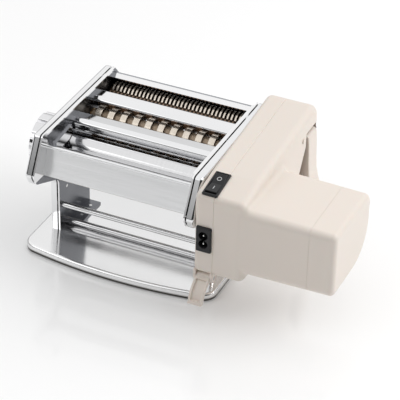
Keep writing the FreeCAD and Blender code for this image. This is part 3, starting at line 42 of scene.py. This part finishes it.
# Camera: it stands in front, to the right and well above the machine, with a long lens, as the
# photograph was taken.
PHOTO_LENS = 170.84
PHOTO_SENSOR = 36.0
PHOTO_REACH = 20.0
PHOTO_EYE = Vector((0.65128, -1.32973, 1.03139))
PHOTO_YAW = math.radians(24.109)
PHOTO_PITCH = math.radians(33.573)
PHOTO_ROLL = math.radians(-1.336)
camera_data = bpy.data.cameras.new("photo_camera")
camera_data.lens = PHOTO_LENS
camera_data.sensor_width = PHOTO_SENSOR
camera_data.clip_end = PHOTO_REACH
camera = bpy.data.objects.new("photo_camera", camera_data)
scene.collection.objects.link(camera)
camera.matrix_world = (
    Matrix.Translation(PHOTO_EYE)
    @ Matrix.Rotation(PHOTO_YAW, 4, "Z")
    @ Matrix.Rotation(math.pi / 2 - PHOTO_PITCH, 4, "X")
    @ Matrix.Rotation(-PHOTO_ROLL, 4, "Z"))
scene.camera = camera


# Base plate: stainless sheet with a bowed outline and a turned-down rim, polished. The plate is flat. Only
# its shading leans back, by one constant slope, so that it mirrors the pale room behind the machine. The
# lower edge of the rim is painted dark, as a painted reflection of the shaded floor beside the rim.
class Value:
    """A shader socket that takes part in Python sums; each sum adds a Math node."""

    def __init__(self, wiring, socket):
        self.wiring = wiring
        self.socket = socket

    def __add__(self, other):
        return self.wiring.math("ADD", self, other)

    def __sub__(self, other):
        return self.wiring.math("SUBTRACT", self, other)

    def __rsub__(self, other):
        return self.wiring.math("SUBTRACT", other, self)

    def __neg__(self):
        return 0.0 - self

    def __mul__(self, other):
        return self.wiring.math("MULTIPLY", self, other)

    def __truediv__(self, other):
        return self.wiring.math("DIVIDE", self, other)

    def __gt__(self, other):
        return self.wiring.math("GREATER_THAN", self, other)

    def __lt__(self, other):
        return self.wiring.math("LESS_THAN", self, other)

    __radd__ = __add__
    __rmul__ = __mul__


class Wiring:
    """Adds nodes to one node tree, and sets or links their sockets."""

    def __init__(self, tree):
        self.tree = tree

    def node(self, kind, settings=None, inputs=None, output=0):
        made = self.tree.nodes.new(kind)
        for key, value in (settings or {}).items():
            setattr(made, key, value)
        for key, value in (inputs or {}).items():
            self.put(made.inputs[key], value)
        return Value(self, made.outputs[output])

    def put(self, socket, value):
        if isinstance(value, Value):
            self.tree.links.new(value.socket, socket)
        elif socket.type == "RGBA":
            socket.default_value = (*value, 1.0)
        else:
            socket.default_value = value

    def math(self, operation, left, right=0.0):
        return self.node("ShaderNodeMath", {"operation": operation}, {0: left, 1: right})

    def split(self, vector):
        return [self.node("ShaderNodeSeparateXYZ", {}, {0: vector}, axis) for axis in "XYZ"]


class Finish(Wiring):
    """A material with one Principled shader; constants go straight on its sockets."""

    def __init__(self, name, **constants):
        self.material = bpy.data.materials.new(name)
        self.material.use_nodes = True
        super().__init__(self.material.node_tree)
        self.shader = self.tree.nodes["Principled BSDF"]
        self.feed(**constants)
        self.place = self.node("ShaderNodeTexCoord", output="Object")
        self.x, self.y, self.z = self.split(self.place)

    def noise(self, scale, stretch=(1.0, 1.0, 1.0), detail=3.0, roughness=0.55):
        place = self.node("ShaderNodeMapping", {}, {"Vector": self.place, "Scale": stretch})
        inputs = {"Vector": place, "Scale": scale, "Detail": detail, "Roughness": roughness}
        return self.node("ShaderNodeTexNoise", {}, inputs)

    def mix(self, factor, first, second):
        return self.node("ShaderNodeMix", {"data_type": "RGBA"}, {0: factor, 6: first, 7: second}, 2)

    def between(self, factor, low, high):
        return self.node("ShaderNodeMapRange", {}, {0: factor, 3: low, 4: high})

    def bump(self, height, distance, strength=1.0):
        inputs = {"Height": height, "Distance": distance, "Strength": strength}
        return self.node("ShaderNodeBump", {}, inputs)

    def feed(self, **values):
        for socket, value in values.items():
            self.put(self.shader.inputs[socket.replace("_", " ")], value)
        return self.material


def wear(*names, material):
    for name in names:
        for place in nodes[name].material_slots:
            place.material = material


BASE_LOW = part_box("base_plate")[0][2]
BASE_LEAN = 0.12
EDGE_HEIGHT = 0.0031
EDGE_FADE = 0.0016
BASE_TONES = ((0.86, 0.86, 0.865), (0.94, 0.94, 0.94))
# Painted reflection: the near-black tone of the rim's lower edge stands in for the shaded floor it mirrors.
BASE_EDGE_PAINTED_SHADE = (0.07, 0.065, 0.06)
BASE_ROUGHNESS = (0.09, 0.17)
base = Finish("leaning_base_sheet", Metallic=1.0)
smears = base.noise(scale=30.0, stretch=(1.0, 0.4, 1.0), detail=4.0)
# Painted shade: this mask darkens the lowest few millimetres of the rim.
painted_edge_shade = (BASE_LOW + EDGE_HEIGHT - base.z) / EDGE_FADE
base_sheet = base.feed(
    Base_Color=base.mix(painted_edge_shade, base.mix(smears, *BASE_TONES), BASE_EDGE_PAINTED_SHADE),
    Roughness=base.between(smears, *BASE_ROUGHNESS),
    Normal=base.bump(-BASE_LEAN * base.y, distance=1.0))
wear("base_plate", material=base_sheet)


# Feet: black rubber discs under the corners of the base, matt and a little dusty. Their finish, like many
# below, has one cloudy pattern that moves its tone and its roughness together.
def mottled(name, tones, roughness, pattern, **constants):
    finish = Finish(name, **constants)
    cloud = finish.noise(**pattern)
    return finish.feed(
        Base_Color=finish.mix(cloud, *tones),
        Roughness=finish.between(cloud, *roughness))


foot_rubber = mottled(
    "foot_rubber",
    tones=((0.02, 0.02, 0.02), (0.05, 0.05, 0.048)),
    roughness=(0.6, 0.85),
    pattern={"scale": 200.0})
wear("base_feet", material=foot_rubber)

# Frame plates: two upright stainless sheets, screwed to the base through their feet. The inner faces
# between the rollers are only mill-finished, so they are rougher; their colour is painted dark as painted
# shade.
HALF_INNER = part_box("front_hood")[1][0]
FRAME_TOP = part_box("left_frame")[1][2]
PANEL_CORNER_LOW, PANEL_CORNER_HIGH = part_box("front_panel")
PANEL_SHEET = 0.001
INNER_SKIN = 0.0001
LIP_DEPTH = 0.002
STEEL_PALE = (0.90, 0.90, 0.905)
# Painted shade: dark tones for the inner faces of the frames, where the space between them lies in shade.
INNER_SHADE_TONES = ((0.13, 0.135, 0.15), (0.24, 0.245, 0.26))
FRAME_ROUGHNESS = (0.06, 0.24)
mill = Finish("frame_sheet", Metallic=1.0)
on_inner_face = mill.math("ABSOLUTE", mill.x) < HALF_INNER + INNER_SKIN
below_lip = mill.z < FRAME_TOP - LIP_DEPTH
behind_panel = mill.y > PANEL_CORNER_HIGH[1] - PANEL_SHEET
under_panel = mill.z < PANEL_CORNER_LOW[2]
# Painted shade: the inner faces behind and under the front panel, below the top lip, are painted dark.
painted_inner_shade = on_inner_face * below_lip * mill.math("MAXIMUM", behind_panel, under_panel)
shade_cloud = mill.noise(scale=45.0, detail=4.0)
frame_sheet = mill.feed(
    Base_Color=mill.mix(painted_inner_shade, STEEL_PALE, mill.mix(shade_cloud, *INNER_SHADE_TONES)),
    Roughness=mill.between(painted_inner_shade, *FRAME_ROUGHNESS))
wear("left_frame", "right_frame", material=frame_sheet)

# Smooth rollers and tie rods: turned steel bar, ground and plated, carried by the two frames. The grinding
# leaves fine rings.
roller_steel = mottled(
    "ground_roller_steel",
    tones=((0.70, 0.70, 0.71), (0.82, 0.82, 0.825)),
    roughness=(0.07, 0.16),
    pattern={"scale": 1400.0, "stretch": (1.0, 0.02, 0.02), "detail": 2.0},
    Metallic=1.0)
wear("front_roller", "rear_roller", "upper_tie_rods", "lower_tie_rod", material=roller_steel)

# Cutters: plated steel rollers with square ridges. The ridge walls, and the grooves but for the rear wide
# cutter's, are painted dark brown as painted shade. Rear cutters have pale crests; front crests are painted
# shade.
RIDGE_DEPTH = 0.003
RIDGE_SKIN = 0.0003
# Painted shade: the dark wall, groove and front-crest tones stand in for the shade in the slots under the
# hoods.
WALL_PAINTED_SHADE = ((0.035, 0.02, 0.012), (0.09, 0.055, 0.03))
GROOVE_PAINTED_SHADE = ((0.02, 0.012, 0.008), (0.05, 0.03, 0.018))
DULL_CREAM = ((0.34, 0.25, 0.17), (0.48, 0.38, 0.28))
BRIGHT_CREST = ((0.74, 0.65, 0.54), (0.88, 0.81, 0.72))
CREST_PAINTED_SHADE = ((0.13, 0.08, 0.05), (0.26, 0.17, 0.11))
GROOVE_METAL, CREST_METAL = 0.35, 0.7
GROOVE_ROUGHNESS, CREST_ROUGHNESS = 0.42, 0.22


def cutter_finish(cutter, core_tones, crest_tones):
    low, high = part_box(cutter)
    centre_y = (low[1] + high[1]) / 2
    centre_z = (low[2] + high[2]) / 2
    crest = (high[2] - low[2]) / 2
    finish = Finish(cutter + "_steel")
    across = finish.y - centre_y
    up = finish.z - centre_z
    radius = finish.math("SQRT", across * across + up * up)
    on_crest = radius > crest - RIDGE_SKIN
    on_core = radius < crest - RIDGE_DEPTH + RIDGE_SKIN
    grain = finish.noise(scale=500.0, stretch=(1.0, 0.1, 0.1))
    grooves = finish.mix(on_core, finish.mix(grain, *WALL_PAINTED_SHADE), finish.mix(grain, *core_tones))
    return finish.feed(
        Base_Color=finish.mix(on_crest, grooves, finish.mix(grain, *crest_tones)),
        Metallic=finish.between(on_crest, GROOVE_METAL, CREST_METAL),
        Roughness=finish.between(on_crest, GROOVE_ROUGHNESS, CREST_ROUGHNESS))


# Painted shade: the front cutter of each pair gets dark crest and groove tones, as it lies in shade.
for cutter, core_tones, crest_tones in (
        ("wide_cutter_front", GROOVE_PAINTED_SHADE, CREST_PAINTED_SHADE),
        ("wide_cutter_rear", DULL_CREAM, BRIGHT_CREST),
        ("fine_cutter_front", GROOVE_PAINTED_SHADE, CREST_PAINTED_SHADE),
        ("fine_cutter_rear", GROOVE_PAINTED_SHADE, BRIGHT_CREST)):
    wear(cutter, material=cutter_finish(cutter, core_tones, crest_tones))

# Journal bushes and roller sleeves: sintered bronze, porous and soaked with oil. The ends of the rollers
# and cutters turn in them.
oiled_bronze = mottled(
    "oiled_bronze",
    tones=((0.42, 0.27, 0.12), (0.66, 0.47, 0.24)),
    roughness=(0.3, 0.5),
    pattern={"scale": 900.0},
    Metallic=1.0)
wear("journal_bushes", "roller_sleeves", material=oiled_bronze)

# Pair gears, spindle, axles, pins and motor parts: plain turned and hobbed steel with a thin film of
# grease. They work out of sight, under the left cover and in the motor case.
greased_steel = mottled(
    "greased_steel",
    tones=((0.36, 0.35, 0.33), (0.56, 0.56, 0.57)),
    roughness=(0.22, 0.45),
    pattern={"scale": 120.0},
    Metallic=1.0)
wear("front_roller_gear", "rear_roller_gear", "wide_gear_front", "wide_gear_rear", "fine_gear_front",
     "fine_gear_rear", "adjust_spindle", "gear_axles", "armature", "motor_pinion", "motor_can", "gear_plate",
     "lever_pins", material=greased_steel)

# Scrapers, combs and drive gears: white nylon mouldings, a little waxy. The scrapers and combs lie under
# the rollers and cutters, and the gears turn in the motor case.
white_nylon = mottled(
    "white_nylon",
    tones=((0.74, 0.72, 0.66), (0.82, 0.80, 0.75)),
    roughness=(0.34, 0.5),
    pattern={"scale": 90.0},
    Subsurface_Weight=0.08,
    Subsurface_Scale=0.002)
wear("roller_scrapers", "wide_combs", "fine_combs", "roller_drive_gear", "first_idler", "wide_drive_gear",
     "second_idler", "fine_drive_gear", "wheel_pinion", "reduction_wheel", material=white_nylon)

# Feed chute: bent stainless sheet, held between the frames. It has been wiped over so often that its
# polish has turned satin.
satin_sheet = mottled(
    "satin_sheet",
    tones=((0.88, 0.88, 0.885), (0.95, 0.95, 0.95)),
    roughness=(0.14, 0.24),
    pattern={"scale": 30.0, "stretch": (1.0, 0.4, 1.0), "detail": 4.0},
    Metallic=1.0)
wear("feed_chute", material=satin_sheet)

# Front panel: stainless sheet with a bead along its top, held between the frames. It is finely brushed
# along its length, so that it is softer and greyer than the covers.
PANEL_TONES = ((0.78, 0.785, 0.795), (0.86, 0.865, 0.87))
PANEL_ROUGHNESS = (0.16, 0.30)
brush = Finish("brushed_front_sheet", Metallic=1.0)
strokes = brush.noise(scale=900.0, stretch=(0.012, 1.0, 1.0), detail=2.0)
patch = brush.noise(scale=18.0, stretch=(0.4, 1.0, 1.0), detail=2.0)
brushed_sheet = brush.feed(
    Base_Color=brush.mix(patch, *PANEL_TONES),
    Roughness=brush.between(strokes, *PANEL_ROUGHNESS),
    Normal=brush.bump(strokes, distance=0.00002, strength=0.35))
wear("front_panel", material=brushed_sheet)

# Side covers, hoods and side guides: stainless sheet, pressed to shape and polished to a mirror. The
# polishing wheel leaves the shine slightly uneven, with faint wipe marks.
STEEL_DEEP = (0.82, 0.825, 0.835)
MIRROR_ROUGHNESS = (0.035, 0.11)
WIPE_MARKS = {"scale": 60.0, "stretch": (0.25, 1.0, 1.0), "detail": 4.0}
polish = Finish("mirror_polished_sheet", Metallic=1.0)
wipes = polish.noise(**WIPE_MARKS)
clouding = polish.noise(scale=14.0, detail=2.0)
mirror_sheet = polish.feed(
    Base_Color=polish.mix(clouding, STEEL_DEEP, STEEL_PALE),
    Roughness=polish.between(wipes, *MIRROR_ROUGHNESS))
wear("left_cover", "right_cover", "front_hood", "rear_hood", "side_guides", material=mirror_sheet)

# Rear panel: the same sheet, held by its ends between the frames. Its top rail ends in a hem at the back,
# and the hem and the skirt below it are painted darker, as painted shade along the rolled back edge.
SKIRT_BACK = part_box("rear_panel")[1][1]
HEM_REACH = 0.0065
# Painted shade: the grey tone of the hem and skirt at the back edge.
HEM_PAINTED_SHADE = (0.36, 0.37, 0.39)
REAR_ROUGHNESS = (0.04, 0.12)
hemmed = Finish("hemmed_rear_sheet", Metallic=1.0)
# Painted shade: this mask covers the last few millimetres at the back of the rear panel.
hem_shade_mask = hemmed.y > SKIRT_BACK - HEM_REACH
rear_sheet = hemmed.feed(
    Base_Color=hemmed.mix(hem_shade_mask, STEEL_PALE, HEM_PAINTED_SHADE),
    Roughness=hemmed.between(hemmed.noise(**WIPE_MARKS), *REAR_ROUGHNESS))
wear("rear_panel", material=rear_sheet)

# Screws, nuts and inlet pins: small turned steel pieces, zinc or nickel plated, bright with a fine grain.
# The screws and nuts hold the covers, the frames, the tie rods and the case halves.
bright_plate = mottled(
    "plated_fasteners",
    tones=((0.68, 0.68, 0.67), (0.82, 0.82, 0.80)),
    roughness=(0.16, 0.32),
    pattern={"scale": 700.0},
    Metallic=1.0)
wear("cover_screws", "foot_screws", "tie_rod_nuts", "case_screws", "inlet_pins", material=bright_plate)

# Thickness knob: a moulding with a metal-look coat, lobed for grip. It sits on the left end of the
# spindle and is pulled out to be turned.
metal_coat = mottled(
    "metal_look_coat",
    tones=((0.72, 0.72, 0.73), (0.84, 0.84, 0.85)),
    roughness=(0.05, 0.13),
    pattern={"scale": 40.0},
    Metallic=1.0)
wear("adjust_knob", material=metal_coat)

# Motor case and lock levers: cream moulded shells with a fine spark-eroded grain and a soft gloss, screwed
# together. The recess behind the rear lever is painted dark brown towards its floor, as painted shade.
CASE_SIDE = 0.133
RECESS_DEPTH = 0.012
RECESS_REACH = 0.0144
RECESS_FRONT = 0.0465
RECESS_TOP = 0.1225
SHADE_GROWTH = 1.1
SHADE_MOST = 0.9
# Painted shade: the dark brown laid into the recess, deeper towards its floor.
RECESS_SHADE_TONE = (0.20, 0.125, 0.08)
CREAM_TONES = ((0.785, 0.708, 0.64), (0.81, 0.738, 0.67))
CREAM_ROUGHNESS = (0.36, 0.46)
cream = Finish("cream_moulding", Specular_IOR_Level=0.45, Subsurface_Weight=0.05, Subsurface_Scale=0.002)
grain = cream.noise(scale=1500.0, detail=2.0)
flow = cream.noise(scale=9.0, detail=2.0)
in_recess = (cream.y > RECESS_FRONT) * (cream.z < RECESS_TOP) * (cream.x > CASE_SIDE - RECESS_REACH)
depth = cream.math("MAXIMUM", (CASE_SIDE - cream.x) / RECESS_DEPTH, 0.0)
# Painted shade: the recess colour darkens with depth below the outer face of the case.
recess_shade = in_recess * cream.math("MINIMUM", depth * SHADE_GROWTH, SHADE_MOST)
cream_moulding = cream.feed(
    Base_Color=cream.mix(recess_shade, cream.mix(flow, *CREAM_TONES), RECESS_SHADE_TONE),
    Roughness=cream.between(flow, *CREAM_ROUGHNESS),
    Normal=cream.bump(grain, distance=0.00003, strength=0.25))
wear("inner_case", "outer_case", "end_cap", "front_lever", "rear_lever", material=cream_moulding)

# Rocker switch and mains inlet: black mouldings let into the motor case, satin with a fine grain. The
# button rocks in its bezel.
BLACK_TONES = ((0.012, 0.012, 0.013), (0.03, 0.03, 0.032))
BLACK_ROUGHNESS = (0.18, 0.30)
black = Finish("black_moulding", Specular_IOR_Level=0.25)
speck = black.noise(scale=1100.0)
black_moulding = black.feed(
    Base_Color=black.mix(speck, *BLACK_TONES),
    Roughness=black.between(speck, *BLACK_ROUGHNESS),
    Normal=black.bump(speck, distance=0.00003, strength=0.3))
wear("rocker_bezel", "rocker_button", "inlet_socket", material=black_moulding)

# Marks of the rocker switch: a ring and a bar in pale grey ink, printed on the two slopes of the button.
# Each is a thin solid that is half sunk in its slope.
MARK_PROUD = 0.00012
MARK_STROKE = 0.0007
RING_RADIUS = 0.0019
RING_STEPS = 40
BAR_LENGTH = 0.0042
FACING_UP = 0.9
INK_TONES = ((0.42, 0.42, 0.43), (0.62, 0.62, 0.63))
ink = Finish("pale_grey_ink", Roughness=0.45)
grey_ink = ink.feed(Base_Color=ink.mix(ink.noise(scale=2500.0), *INK_TONES))
button = nodes["rocker_button"]
button_turn = button.matrix_world.to_3x3()
button_low, button_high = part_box("rocker_button")
button_middle = (button_low[1] + button_high[1]) / 2


def slope_of_button(is_rear):
    """The middle and the normal of the button's front or rear slope."""
    middle, normal, area = Vector(), Vector(), 0.0
    for face in button.data.polygons:
        face_normal = (button_turn @ face.normal).normalized()
        face_middle = button.matrix_world @ face.center
        if face_normal.z > FACING_UP and (face_middle.y > button_middle) == is_rear:
            middle += face_middle * face.area
            normal += face_normal * face.area
            area += face.area
    return middle / area, normal.normalized()


def add_mark(name, form, is_rear):
    middle, normal = slope_of_button(is_rear)
    turn = normal.to_track_quat("Z", "Y").to_matrix().to_4x4()
    bmesh.ops.transform(form, matrix=Matrix.Translation(middle) @ turn, verts=form.verts)
    mesh = bpy.data.meshes.new(name)
    form.to_mesh(mesh)
    form.free()
    mesh.materials.append(grey_ink)
    mark = bpy.data.objects.new(name, mesh)
    scene.collection.objects.link(mark)
    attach(mark, "rocker")


ring = bmesh.new()
section = [ring.verts.new((RING_RADIUS + side * MARK_STROKE / 2, 0.0, up * MARK_PROUD))
           for side, up in ((-1, -1), (1, -1), (1, 1), (-1, 1))]
outline = [ring.edges.new((section[k - 1], section[k])) for k in range(len(section))]
bmesh.ops.spin(ring, geom=section + outline, cent=(0.0, 0.0, 0.0), axis=(0.0, 0.0, 1.0),
               angle=math.tau, steps=RING_STEPS, use_merge=True)
bmesh.ops.recalc_face_normals(ring, faces=ring.faces)
add_mark("switch_off_mark", ring, is_rear=True)

bar = bmesh.new()
bmesh.ops.create_cube(bar, size=1.0)
bmesh.ops.scale(bar, vec=(MARK_STROKE, BAR_LENGTH, 2 * MARK_PROUD), verts=bar.verts)
add_mark("switch_on_mark", bar, is_rear=False)

# Floor: a white gloss table top, wide enough to fill every view. It mirrors the machine faintly and gives
# off a little light of its own, so that it stays white.
FLOOR_HALF = 6.0
TABLE_TONES = ((0.84, 0.84, 0.84), (0.87, 0.87, 0.87))
WHITE = (1.0, 1.0, 1.0)
floor_mesh = bpy.data.meshes.new("white_table")
floor_form = bmesh.new()
bmesh.ops.create_grid(floor_form, x_segments=1, y_segments=1, size=FLOOR_HALF)
floor_form.to_mesh(floor_mesh)
floor_form.free()
floor = bpy.data.objects.new("white_table", floor_mesh)
scene.collection.objects.link(floor)
table = Finish("white_gloss_table", Roughness=0.05, Specular_IOR_Level=0.5,
               Emission_Color=WHITE, Emission_Strength=0.12)
floor_mesh.materials.append(table.feed(Base_Color=table.mix(table.noise(scale=1.5), *TABLE_TONES)))

# Light: a large soft box high on the right, a weak one high at the front left, and a pale room. Overhead the
# room is bright. It fades slowly to the horizon behind the machine, and ends higher and sharper in front. A
# bright strip stands low in front and to the left, for the polished steel.
LAMP_AIM = Vector((0.05, 0.0, 0.06))


def soft_box(name, place, side, power):
    light = bpy.data.lights.new(name, "AREA")
    light.shape = "RECTANGLE"
    light.size = side
    light.size_y = side
    light.energy = power
    lamp = bpy.data.objects.new(name, light)
    scene.collection.objects.link(lamp)
    lamp.location = place
    lamp.rotation_euler = (LAMP_AIM - Vector(place)).to_track_quat("-Z", "Y").to_euler()


soft_box("key_box", place=(1.5, 0.45, 1.1), side=1.2, power=15.0)
soft_box("front_box", place=(-1.3, -1.2, 1.3), side=1.0, power=2.0)

# The limits below are parts of a unit direction, between which the room goes from one state to the other.
BEHIND_FROM_TO = (-0.35, 0.25)
LEFT_FROM_TO = (-0.1, 0.25)
CEILING_BEHIND = (-0.15, 0.5)
CEILING_FRONT_LEFT = (0.28, 0.42)
CEILING_FRONT_RIGHT = (0.55, 0.92)
STRIP_FROM_TO = (0.45, 0.9)
STRIP_TOP = (0.06, 0.14)
STRIP_TURN = 0.5
ROOM_DIM = 0.03
ROOM_GAIN = 0.95
world = bpy.data.worlds.new("pale_room")
scene.world = world
world.use_nodes = True
room = Wiring(world.node_tree)
rightward, backward, upward = room.split(room.node("ShaderNodeTexCoord", output="Generated"))


def rise(value, low, high):
    return room.node("ShaderNodeMapRange", {"interpolation_type": "SMOOTHSTEP"}, {0: value, 1: low, 2: high})


behind = rise(backward, *BEHIND_FROM_TO)
left = rise(-rightward, *LEFT_FROM_TO)
front_ceiling = left * rise(upward, *CEILING_FRONT_LEFT) + (1.0 - left) * rise(upward, *CEILING_FRONT_RIGHT)
ceiling = behind * rise(upward, *CEILING_BEHIND) + (1.0 - behind) * front_ceiling
strip = rise(-backward - STRIP_TURN * rightward, *STRIP_FROM_TO) * (1.0 - rise(upward, *STRIP_TOP))
background = room.tree.nodes["Background"]
room.put(background.inputs["Color"], WHITE)
room.put(background.inputs["Strength"], ROOM_DIM + ROOM_GAIN * room.math("MINIMUM", ceiling + strip, 1.0))
